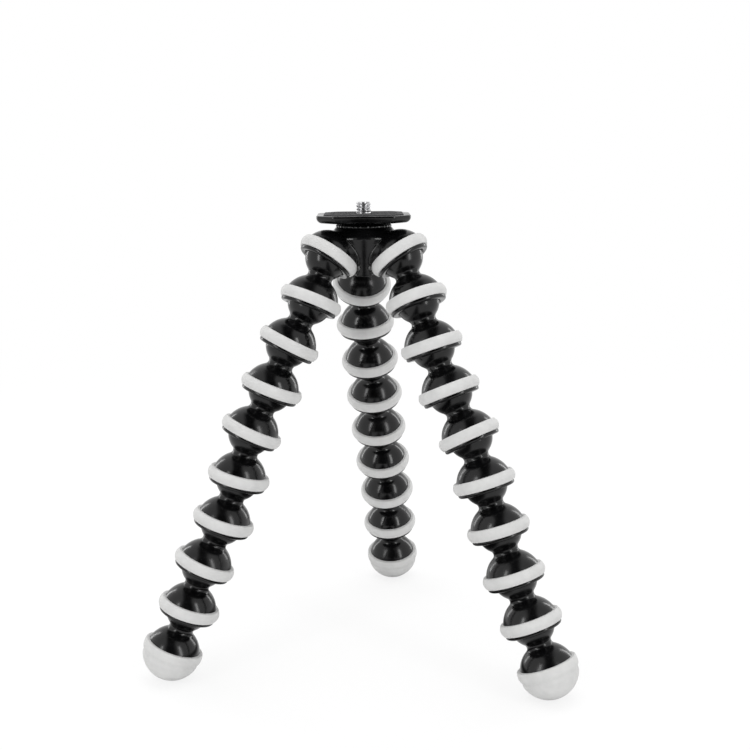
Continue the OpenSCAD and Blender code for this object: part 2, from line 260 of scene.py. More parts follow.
def turn(name, section, steps, closed=False):
    """Extrudes a half section point by point and spins it round the Z axis."""
    bpy.ops.object.select_all(action="DESELECT")
    bpy.ops.mesh.primitive_plane_add(size=SEED_SIZE)
    obj = bpy.context.object
    obj.name = name
    bpy.ops.object.mode_set(mode="EDIT")
    bpy.ops.mesh.select_mode(type="VERT")
    bpy.ops.mesh.select_all(action="SELECT")
    bpy.ops.mesh.merge(type="CENTER")
    points = [Vector((x, 0.0, z)) for x, z in section]
    bpy.ops.transform.translate(value=points[0])
    for here, ahead in zip(points, points[1:]):
        bpy.ops.mesh.extrude_region_move(TRANSFORM_OT_translate={"value": ahead - here})
    if closed:
        ends = (points[0], points[-1])
        pick(obj, "verts", lambda v: min((v.co - end).length for end in ends) < MERGE_DISTANCE)
        bpy.ops.mesh.edge_face_add()
    bpy.ops.mesh.select_all(action="SELECT")
    bpy.ops.mesh.spin(steps=steps, angle=2 * math.pi, center=(0, 0, 0), axis=(0, 0, 1))
    bpy.ops.mesh.select_all(action="SELECT")
    bpy.ops.mesh.remove_doubles(threshold=MERGE_DISTANCE)
    bpy.ops.mesh.normals_make_consistent(inside=False)
    bpy.ops.object.mode_set(mode="OBJECT")
    return obj


def smooth(obj):
    """Shades an object smooth, apart from its sharp edges."""
    select_only(obj)
    bpy.ops.object.shade_smooth_by_angle(angle=SMOOTH_ANGLE)


def settle(obj):
    """Puts an object's place and turn into its mesh."""
    select_only(obj)
    bpy.ops.object.transform_apply(location=True, rotation=True, scale=True)


def copied(master, name, place):
    """A copy of a modelled piece with its own mesh, put in its place."""
    obj = master.copy()
    obj.data = master.data.copy()
    obj.name = name
    bpy.context.scene.collection.objects.link(obj)
    obj.matrix_world = place
    settle(obj)
    return obj


def cut(obj, tool):
    """Cuts one object out of another and removes the cutter."""
    select_only(obj)
    modifier = obj.modifiers.new("cut", "BOOLEAN")
    modifier.operation = "DIFFERENCE"
    modifier.solver = "EXACT"
    modifier.object = tool
    bpy.ops.object.modifier_apply(modifier=modifier.name)
    bpy.data.objects.remove(tool)


def dress(obj, material, body, slot, *nodes):
    """Gives a piece its finish and its body, and hides the solids that it stands for."""
    obj.data.materials.clear()
    obj.data.materials.append(material)
    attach(obj, body)
    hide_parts(*nodes)


def hanging(at, along):
    """The place of a piece that is modelled hanging straight down."""
    return Matrix.Translation(at) @ DOWN.rotation_difference(along).to_matrix().to_4x4()


def ball_at(leg, i):
    """The centre of one of a leg's balls, counted from the hub."""
    return JOINT_AT[f"{leg}_ball_{i}"]


def link_along(leg, i, sizes):
    """The direction that a link hangs in. The foot reaches the floor in its leg's own plane."""
    if i <= LINKS_PER_LEG:
        return (ball_at(leg, i + 1) - ball_at(leg, i)).normalized()
    flat = ball_at(leg, i) - ball_at(leg, i - 1)
    flat.z = 0.0
    drop = ball_at(leg, i).z - CAD_BOX[0].z - sizes.sole_r
    lean = math.acos(drop / (LINK_PITCH - sizes.ring_rise))
    return flat.normalized() * math.sin(lean) + DOWN * math.cos(lean)


def socket_along(leg, sizes):
    """The direction that one of the hub's sockets faces."""
    flat = ball_at(leg, 1).copy()
    flat.z = 0.0
    return flat.normalized() * math.sin(sizes.socket_lean) + DOWN * math.cos(sizes.socket_lean)


def shader(name):
    """A new node material, with its tree and its main shader."""
    material = bpy.data.materials.new(name)
    material.use_nodes = True
    tree = material.node_tree
    return material, tree, tree.nodes["Principled BSDF"]


def noise(tree, scale, detail=3.0, roughness=0.5):
    """A noise texture on the object's own coordinates."""
    coords = tree.nodes.new("ShaderNodeTexCoord")
    texture = tree.nodes.new("ShaderNodeTexNoise")
    texture.inputs["Scale"].default_value = scale
    texture.inputs["Detail"].default_value = detail
    texture.inputs["Roughness"].default_value = roughness
    tree.links.new(coords.outputs["Object"], texture.inputs["Vector"])
    return texture.outputs["Fac"]


def ramp(tree, value, low, high, dark, light):
    """Turns a noise value into a colour between two ends."""
    node = tree.nodes.new("ShaderNodeValToRGB")
    node.color_ramp.elements[0].position = low
    node.color_ramp.elements[0].color = (*dark, 1.0)
    node.color_ramp.elements[1].position = high
    node.color_ramp.elements[1].color = (*light, 1.0)
    tree.links.new(value, node.inputs["Fac"])
    return node.outputs["Color"]


def bump(tree, value, strength, distance):
    """A bump from a noise value."""
    node = tree.nodes.new("ShaderNodeBump")
    node.inputs["Strength"].default_value = strength
    node.inputs["Distance"].default_value = distance
    tree.links.new(value, node.inputs["Height"])
    return node.outputs["Normal"]


def scaled(colour_value, factor):
    """A colour made lighter or darker."""
    return tuple(min(1.0, part * factor) for part in colour_value)


def grey(level):
    """A neutral colour."""
    return (level, level, level)


def worn(tree, value, low, high, amount):
    """Adds wear along outer edges to a value between zero and one."""
    geometry = tree.nodes.new("ShaderNodeNewGeometry")
    edge = tree.nodes.new("ShaderNodeMapRange")
    edge.inputs["From Min"].default_value = low
    edge.inputs["From Max"].default_value = high
    edge.inputs["To Max"].default_value = amount
    tree.links.new(geometry.outputs["Pointiness"], edge.inputs["Value"])
    total = tree.nodes.new("ShaderNodeMath")
    total.operation = "ADD"
    total.use_clamp = True
    tree.links.new(value, total.inputs[0])
    tree.links.new(edge.outputs["Result"], total.inputs[1])
    return total.outputs["Value"]


def black_plastic(colours):
    """Glossy moulded plastic with a faint flow pattern, patches of handling haze and rubbed edges."""
    material, tree, surface = shader("moulded_black")
    base = tuple(colours.black_plastic)
    flow = worn(tree, noise(tree, 140.0, 4.0, 0.55), 0.53, 0.6, 0.35)
    tree.links.new(ramp(tree, flow, 0.35, 0.95, base, scaled(base, 5.0)), surface.inputs["Base Color"])
    haze = worn(tree, noise(tree, 75.0, 5.0, 0.6), 0.53, 0.6, 0.25)
    tree.links.new(ramp(tree, haze, 0.38, 0.9, grey(0.15), grey(0.32)), surface.inputs["Roughness"])
    peel = noise(tree, 900.0, 2.0, 0.5)
    tree.links.new(bump(tree, peel, 0.03, 0.0002), surface.inputs["Normal"])
    surface.inputs["Specular IOR Level"].default_value = 0.36
    return material


def pale_rubber(colours):
    """Matte moulded rubber with faint mottling, soft grime and a fine grain."""
    material, tree, surface = shader("moulded_pale")
    base = tuple(colours.pale_rubber)
    mottle = noise(tree, 260.0, 5.0, 0.6)
    tree.links.new(
        ramp(tree, mottle, 0.3, 0.7, scaled(base, 0.94), scaled(base, 1.04)), surface.inputs["Base Color"]
    )
    tree.links.new(
        ramp(tree, noise(tree, 420.0), 0.3, 0.7, grey(0.58), grey(0.74)), surface.inputs["Roughness"]
    )
    grain = noise(tree, 3200.0, 3.0, 0.6)
    tree.links.new(bump(tree, grain, 0.22, 0.0002), surface.inputs["Normal"])
    surface.inputs["Specular IOR Level"].default_value = 0.35
    return material


def dark_rubber(colours):
    """Dark pad rubber, dusty and fine-grained."""
    material, tree, surface = shader("pad_dark")
    base = tuple(colours.dark_rubber)
    dust = noise(tree, 350.0, 6.0, 0.65)
    tree.links.new(ramp(tree, dust, 0.4, 0.75, base, scaled(base, 2.2)), surface.inputs["Base Color"])
    tree.links.new(ramp(tree, dust, 0.3, 0.7, grey(0.6), grey(0.85)), surface.inputs["Roughness"])
    grain = noise(tree, 2600.0, 3.0, 0.6)
    tree.links.new(bump(tree, grain, 0.3, 0.0002), surface.inputs["Normal"])
    return material


def turned_steel(colours):
    """Turned steel with fine tool marks round its axis."""
    material, tree, surface = shader("screw_steel")
    base = tuple(colours.steel)
    coords = tree.nodes.new("ShaderNodeTexCoord")
    stretch = tree.nodes.new("ShaderNodeMapping")
    stretch.inputs["Scale"].default_value = (200.0, 200.0, 9000.0)
    marks = tree.nodes.new("ShaderNodeTexNoise")
    marks.inputs["Scale"].default_value = 1.0
    marks.inputs["Detail"].default_value = 3.0
    tree.links.new(coords.outputs["Object"], stretch.inputs["Vector"])
    tree.links.new(stretch.outputs["Vector"], marks.inputs["Vector"])
    value = marks.outputs["Fac"]
    tree.links.new(
        ramp(tree, value, 0.3, 0.7, scaled(base, 0.85), scaled(base, 1.08)), surface.inputs["Base Color"]
    )
    tree.links.new(ramp(tree, value, 0.3, 0.7, grey(0.24), grey(0.4)), surface.inputs["Roughness"])
    tree.links.new(bump(tree, value, 0.12, 0.0001), surface.inputs["Normal"])
    surface.inputs["Metallic"].default_value = 1.0
    return material


def finish_of(name, make):
    """One of the finishes, made on its first use."""
    found = bpy.data.materials.get(name)
    return found or make(bpy.context.scene.tripod_colours)


def plastic():
    """The finish of the moulded pieces."""
    return finish_of("moulded_black", black_plastic)


def rubber():
    """The finish of the grip rings and the feet."""
    return finish_of("moulded_pale", pale_rubber)


def ball_section(sizes):
    """Half section from the hollow's floor over the ball, the neck and the dome to the ring's shoulder."""
    near = sizes.ball_r + sizes.neck_fillet
    far = sizes.dome_r + sizes.neck_fillet
    fillet_z = -(LINK_PITCH**2 + near**2 - far**2) / (2 * LINK_PITCH)
    fillet_x = math.sqrt(near**2 - fillet_z**2)
    to_ball = math.atan2(fillet_z, fillet_x)
    to_dome = math.atan2(fillet_z + LINK_PITCH, fillet_x)
    mouth = math.acos(sizes.core_r / sizes.ball_r)
    shoulder = math.asin((sizes.ring_rise + sizes.ring_w / 2 + sizes.rubber_gap) / sizes.dome_r)
    points = [(0.0, -sizes.core_depth), (sizes.core_r, -sizes.core_depth)]
    points += arc((0.0, 0.0), sizes.ball_r, mouth, to_ball, steps=20)
    fillet_at = (fillet_x, fillet_z)
    points += arc(fillet_at, sizes.neck_fillet, math.pi + to_ball, math.pi + to_dome, steps=10)[1:]
    points += arc((0.0, -LINK_PITCH), sizes.dome_r, to_dome, shoulder, steps=14)[1:]
    return points


def rim_section(sizes):
    """Half section of the ring's seat, the lip and the socket, below the dome's shoulder."""
    seat_top = sizes.ring_rise + sizes.ring_w / 2 + sizes.rubber_gap
    seat_foot = sizes.ring_rise - sizes.ring_w / 2 - sizes.rubber_gap
    mouth_z = sizes.rim_chamfer - sizes.rim_drop
    mouth = math.asin(mouth_z / sizes.socket_r)
    mouth_r = sizes.socket_r * math.cos(mouth)
    corners = [
        (sizes.seat_r, seat_top, 0.0),
        (sizes.seat_r, seat_foot, 0.0),
        (sizes.lip_r, seat_foot, sizes.edge_round),
        (sizes.lip_r, -sizes.rim_drop, sizes.lip_round),
        (mouth_r + sizes.rim_chamfer, -sizes.rim_drop, sizes.edge_round),
        (mouth_r, mouth_z, 0.0),
    ]
    points = rounded(corners) + arc((0.0, 0.0), sizes.socket_r, mouth, math.pi / 2, steps=12)[1:]
    return [(x, z - LINK_PITCH) for x, z in points]


def ring_section(sizes):
    """Half section of a grip ring: a crowned band with soft edges."""
    half = sizes.ring_w / 2
    centre = sizes.ring_r - sizes.ring_crown
    swing = math.asin((half - sizes.ring_edge / 2) / sizes.ring_crown)
    crown = arc((centre, 0.0), sizes.ring_crown, -swing, swing, steps=10)
    inner = sizes.seat_r + sizes.rubber_gap
    edge = crown[-1][0]
    corners = [
        (inner, 0.0, 0.0),
        (inner, -half, sizes.edge_round),
        (edge, -half, sizes.ring_edge),
        (*crown[1], 0.0),
    ]
    low = rounded(corners)
    high = [(x, -z) for x, z in reversed(low)]
    return low[:-1] + crown[1:-1] + high[1:-1]


class TRIPOD_OT_leg_links(Operator):
    """Model one ball-and-socket link and copy it down the three legs"""

    bl_idname = "tripod.leg_links"
    bl_label = "Leg links"

    def execute(self, context):
        sizes = context.scene.tripod_sizes
        section = ball_section(sizes) + rim_section(sizes)
        master = turn("link_master", section, sizes.round_steps)
        smooth(master)
        for leg in LEGS:
            for i in range(1, LINKS_PER_LEG + 1):
                place = hanging(ball_at(leg, i), link_along(leg, i, sizes))
                link = copied(master, f"{leg}_link_{i}", place)
                dress(link, plastic(), f"{leg}_link_{i}", "black_plastic", f"{leg}_leg_link_{i}")
        bpy.data.objects.remove(master)
        return {"FINISHED"}


class TRIPOD_OT_grip_rings(Operator):
    """Model one rubber ring and copy it onto every link and onto the hub's three sockets"""

    bl_idname = "tripod.grip_rings"
    bl_label = "Grip rings"

    def execute(self, context):
        sizes = context.scene.tripod_sizes
        master = turn("ring_master", ring_section(sizes), sizes.round_steps, closed=True)
        smooth(master)
        to_cup = Matrix.Translation((0.0, 0.0, sizes.ring_rise - LINK_PITCH))
        for leg in LEGS:
            for i in range(1, LINKS_PER_LEG + 1):
                place = hanging(ball_at(leg, i), link_along(leg, i, sizes)) @ to_cup
                ring = copied(master, f"{leg}_ring_{i}", place)
                dress(ring, rubber(), f"{leg}_link_{i}", "pale_rubber", f"{leg}_leg_ring_{i}")
        self.hub_rings(master, sizes)
        bpy.data.objects.remove(master)
        return {"FINISHED"}

    def hub_rings(self, master, sizes):
        """The hub's three rings, joined into one piece."""
        rise = Matrix.Translation((0.0, 0.0, sizes.ring_rise))
        rings = []
        for leg in LEGS:
            place = hanging(ball_at(leg, 1), socket_along(leg, sizes)) @ rise
            rings.append(copied(master, f"hub_ring_{leg}", place))
        select_only(rings[0])
        for ring in rings:
            ring.select_set(True)
        bpy.ops.object.join()
        rings[0].name = "hub_rings"
        dress(rings[0], rubber(), "hub", "pale_rubber", "hub_grip_rings")


class TRIPOD_OT_feet(Operator):
    """Model the last ball with its plug and the rubber foot, and copy them to the three legs"""

    bl_idname = "tripod.feet"
    bl_label = "Feet"

    def execute(self, context):
        sizes = context.scene.tripod_sizes
        plug = turn("plug_master", ball_section(sizes) + self.plug_section(sizes), sizes.round_steps)
        cap = turn("cap_master", self.cap_section(sizes), sizes.round_steps)
        smooth(plug)
        smooth(cap)
        to_cup = Matrix.Translation((0.0, 0.0, -LINK_PITCH))
        for leg in LEGS:
            place = hanging(ball_at(leg, FOOT_JOINT), link_along(leg, FOOT_JOINT, sizes))
            ball = copied(plug, f"{leg}_foot_ball", place)
            dress(ball, plastic(), f"{leg}_foot", "black_plastic", f"{leg}_leg_foot_link")
            foot = copied(cap, f"{leg}_foot_rubber", place @ to_cup)
            dress(foot, rubber(), f"{leg}_foot", "pale_rubber", f"{leg}_leg_foot_cap")
        bpy.data.objects.remove(plug)
        bpy.data.objects.remove(cap)
        return {"FINISHED"}

    def plug_corners(self, sizes, gap):
        """Corners of the plug inside a foot, from its shoulder to its end, grown by a gap."""
        seat_top = sizes.ring_rise + sizes.ring_w / 2 + sizes.rubber_gap
        end = sizes.button_top + sizes.button_t
        return [
            (sizes.seat_r + gap, seat_top - gap),
            (sizes.seat_r + gap, -sizes.rim_drop - gap),
            (sizes.stem_r + gap, -sizes.rim_drop - gap),
            (sizes.stem_r + gap, gap - sizes.button_top),
            (sizes.button_r + gap, gap - sizes.button_top),
            (sizes.button_r + gap, -end - gap),
            (0.0, -end - gap),
        ]

    def plug_section(self, sizes):
        """Half section of the plug, below the dome's shoulder."""
        return [(x, z - LINK_PITCH) for x, z in self.plug_corners(sizes, 0.0)]

    def cap_section(self, sizes):
        """Half section of the rubber foot: rim, band, soft crease, round sole and the pocket inside."""
        middle = sizes.ring_rise
        rim_z = sizes.ring_w / 2
        pocket = self.plug_corners(sizes, sizes.rubber_gap)
        rim_x = math.sqrt(sizes.foot_r**2 - rim_z**2)
        top = math.asin((rim_z - sizes.ring_edge) / sizes.foot_r)
        skin = []
        steps = sizes.skin_steps
        for k in range(steps + 1):
            dip = top + (-math.pi / 2 - top) * k / steps
            below = -sizes.sole_r * math.sin(dip) - sizes.band_depth
            share = 0.5 - 0.5 * math.tanh(below / sizes.crease_w)
            radius = sizes.sole_r + (sizes.foot_r - sizes.sole_r) * share
            radius -= sizes.crease_depth * math.exp(-((below / sizes.crease_w) ** 2))
            skin.append((radius * math.cos(dip), middle + radius * math.sin(dip)))
        skin[-1] = (0.0, middle - sizes.sole_r)
        lip = rounded([(*pocket[0], 0.0), (rim_x, middle + rim_z, sizes.ring_edge), (*skin[0], 0.0)])
        return list(reversed(pocket[1:])) + lip[:-1] + skin


class TRIPOD_OT_hub(Operator):
    """Soften the edges of the hub's solid into a moulded skin"""

    bl_idname = "tripod.hub"
    bl_label = "Hub"

    def execute(self, context):
        head = context.scene.tripod_head
        solid = frame["nodes"]["hub"]
        skin = bpy.data.objects.new("hub_skin", solid.data.copy())
        context.scene.collection.objects.link(skin)
        select_only(skin)
        bpy.ops.object.mode_set(mode="EDIT")
        bpy.ops.mesh.select_all(action="SELECT")
        bpy.ops.mesh.remove_doubles(threshold=MERGE_DISTANCE)
        bpy.ops.object.mode_set(mode="OBJECT")
        remesh = skin.modifiers.new("skin", "REMESH")
        remesh.mode = "VOXEL"
        remesh.voxel_size = head.hub_voxel
        remesh.adaptivity = 0.0
        bpy.ops.object.modifier_apply(modifier=remesh.name)
        soften = skin.modifiers.new("soften", "SMOOTH")
        soften.factor = head.hub_soften
        soften.iterations = head.hub_rounds
        bpy.ops.object.modifier_apply(modifier=soften.name)
        bpy.ops.object.shade_smooth()
        dress(skin, plastic(), "hub", "black_plastic", "hub")
        return {"FINISHED"}


class TRIPOD_OT_locking_ring(Operator):
    """Turn the locking ring and press grips into its rim"""

    bl_idname = "tripod.locking_ring"
    bl_label = "Locking ring"

    def execute(self, context):
        sizes = context.scene.tripod_sizes
        head = context.scene.tripod_head
        low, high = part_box("locking_ring")
        outer = high.x
        inner = outer - head.lock_wall
        edge = sizes.edge_round
        section = rounded(
            [
                (inner, low.z + edge, 0.0),
                (inner, low.z, edge / 2),
                (outer, low.z, edge / 4),
                (outer, low.z + 3 * edge, edge),
                (outer - head.lock_slope, high.z, edge),
                (inner, high.z, edge / 2),
                (inner, low.z + 2 * edge, 0.0),
            ],
            steps=3,
        )
        faces = 4
        ring = turn("locking_ring_grips", section, faces * head.grip_count, closed=True)
        for vertex in ring.data.vertices:
            radius = math.hypot(vertex.co.x, vertex.co.y)
            step = math.atan2(vertex.co.y, vertex.co.x) / (2 * math.pi) * head.grip_count
            if (step + 0.5 / faces) % 1.0 < head.grip_share:
                depth = head.grip_depth * (radius - inner) / head.lock_wall
                vertex.co.x *= 1.0 - depth / radius
                vertex.co.y *= 1.0 - depth / radius
        smooth(ring)
        dress(ring, plastic(), "locking_ring", "black_plastic", "locking_ring")
        return {"FINISHED"}


def cut_corner_block(name, low, high, corner, corner_round):
    """A block with its four upright corners cut off and softened."""
    bpy.ops.object.select_all(action="DESELECT")
    bpy.ops.mesh.primitive_cube_add(size=1.0, location=(low + high) / 2)
    obj = bpy.context.object
    obj.name = name
    obj.scale = high - low
    settle(obj)
    bpy.ops.object.mode_set(mode="EDIT")

    def upright(edge):
        span = edge.verts[0].co - edge.verts[1].co
        return math.hypot(span.x, span.y) < MERGE_DISTANCE

    pick(obj, "edges", upright)
    bpy.ops.mesh.bevel(offset=corner, offset_type="OFFSET", segments=1, affect="EDGES")
    pick(obj, "edges", upright)
    bpy.ops.mesh.bevel(offset=corner_round, offset_type="OFFSET", segments=4, affect="EDGES")
    return obj


def level_with(height):
    """A test for edges that lie flat at one height."""
    return lambda edge: all(abs(v.co.z - height) < MERGE_DISTANCE for v in edge.verts)


class TRIPOD_OT_plate(Operator):
    """Model the quick-release plate with its pad recess and its boss"""

    bl_idname = "tripod.plate"
    bl_label = "Quick-release plate"

    def execute(self, context):
        head = context.scene.tripod_head
        sizes = context.scene.tripod_sizes
        low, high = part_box("quick_release_plate")
        boss_low = low.z
        low.z = high.z - head.plate_t
        plate = cut_corner_block("plate", low, high, head.plate_corner, head.corner_round)
        pick(plate, "edges", level_with(low.z))
        bpy.ops.mesh.bevel(offset=head.plate_round, segments=8, affect="EDGES")
        pick(plate, "edges", level_with(high.z))
        bpy.ops.mesh.bevel(offset=head.top_round, segments=3, affect="EDGES")
        pick(plate, "faces", lambda f: f.normal.z > FACES_UP and f.calc_area() > WIDE_FACE)
        bpy.ops.mesh.inset(thickness=head.pad_inset - head.top_round)
        floor_drop = Vector((0.0, 0.0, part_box("plate_pad")[0].z - high.z))
        bpy.ops.mesh.extrude_region_move(TRANSFORM_OT_translate={"value": floor_drop})
        bpy.ops.object.mode_set(mode="OBJECT")
        edge = sizes.edge_round
        recess_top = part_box("camera_screw")[0].z + head.head_t + head.head_play
        section = rounded(
            [
                (0.0, recess_top, 0.0),
                (head.head_recess_r, recess_top, 0.0),
                (head.head_recess_r, boss_low, edge),
                (head.boss_r, boss_low, 2 * edge),
                (head.boss_r, low.z + head.plate_t / 2, 0.0),
                (0.0, low.z + head.plate_t / 2, 0.0),
            ]
        )
        boss = turn("plate_boss", section, sizes.round_steps)
        select_only(plate)
        boss.select_set(True)
        bpy.ops.object.join()
        smooth(plate)
        dress(plate, plastic(), "plate", "black_plastic", "quick_release_plate")
        return {"FINISHED"}


class TRIPOD_OT_pad(Operator):
    """Model the rubber pad with its grooves and the hole for the stud"""

    bl_idname = "tripod.pad"
    bl_label = "Pad"

    def execute(self, context):
        head = context.scene.tripod_head
        low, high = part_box("plate_pad")
        corner = head.plate_corner - head.pad_inset * (2 - math.sqrt(2))
        pad = cut_corner_block("pad", low, high, corner, head.corner_round / 2)
        pick(pad, "edges", level_with(high.z))
        bpy.ops.mesh.bevel(offset=head.top_round / 2, segments=2, affect="EDGES")
        reach_x = high.x - corner / 2
        count = int((high.y - corner / 2) / head.groove_pitch)
        rows = [k * head.groove_pitch for k in range(-count, count + 1)]
        walls = [row + side * head.groove_w / 2 for row in rows for side in (-1, 1)]
        for wall in walls:
            bpy.ops.mesh.select_all(action="SELECT")
            bpy.ops.mesh.bisect(plane_co=(0.0, wall, 0.0), plane_no=(0.0, 1.0, 0.0))
        for side in (-reach_x, reach_x):
            bpy.ops.mesh.select_all(action="SELECT")
            bpy.ops.mesh.bisect(plane_co=(side, 0.0, 0.0), plane_no=(1.0, 0.0, 0.0))

        def in_groove(face):
            middle = face.calc_center_median()
            if face.normal.z < FACES_UP or abs(middle.x) > reach_x:
                return False
            return min(abs(middle.y - row) for row in rows) < head.groove_w / 4

        pick(pad, "faces", in_groove)
        drop = Vector((0.0, 0.0, -head.groove_depth))
        bpy.ops.mesh.extrude_region_move(TRANSFORM_OT_translate={"value": drop})
        bpy.ops.object.mode_set(mode="OBJECT")
        bpy.ops.object.select_all(action="DESELECT")
        hole_r = head.stud_r + head.stud_room
        bpy.ops.mesh.primitive_cylinder_add(vertices=64, radius=hole_r, depth=CUTTER_DEPTH)
        cut(pad, bpy.context.object)
        smooth(pad)
        dress(pad, finish_of("pad_dark", dark_rubber), "plate", "dark_rubber", "plate_pad")
        return {"FINISHED"}


class TRIPOD_OT_screw(Operator):
    """Turn the mounting screw, cut its thread and its coin slot"""

    bl_idname = "tripod.screw"
    bl_label = "Mounting screw"

    def execute(self, context):
        head = context.scene.tripod_head
        sizes = context.scene.tripod_sizes
        low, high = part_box("camera_screw")
        edge = sizes.edge_round
        head_top = low.z + head.head_t
        tip = high.z
        chamfer = head.stud_chamfer
        rows = head.thread_rows
        wall = [(head.stud_r, (tip - chamfer) * k / rows) for k in range(rows + 1)]
        section = rounded(
            [
                (0.0, low.z, 0.0),
                (high.x, low.z, 2 * edge),
                (high.x, head_top, edge),
                (head.shank_r, head_top, 0.0),
                (head.shank_r, 0.0, 0.0),
            ]
        )
        section += wall + [(head.stud_r - chamfer, tip), (0.0, tip)]
        screw = turn("camera_screw_thread", section, sizes.round_steps)
        for vertex in screw.data.vertices:
            radius = math.hypot(vertex.co.x, vertex.co.y)
            if vertex.co.z < edge or radius < head.stud_r - 2 * edge:
                continue
            angle = math.atan2(vertex.co.y, vertex.co.x) / (2 * math.pi)
            phase = (vertex.co.z / head.thread_pitch - angle) % 1.0
            depth = head.thread_depth * max(0.0, 1.0 - abs(phase - 0.5) * head.thread_flank)
            depth *= min(1.0, vertex.co.z / head.thread_pitch)
            vertex.co.x *= 1.0 - depth / radius
            vertex.co.y *= 1.0 - depth / radius
        bpy.ops.object.select_all(action="DESELECT")
        bpy.ops.mesh.primitive_cube_add(size=1.0, location=(0.0, 0.0, low.z))
        slot = bpy.context.object
        slot.scale = (4 * high.x, head.slot_w, 2 * head.slot_depth)
        settle(slot)
        cut(screw, slot)
        smooth(screw)
        dress(screw, finish_of("screw_steel", turned_steel), "screw", "steel", "camera_screw")
        return {"FINISHED"}


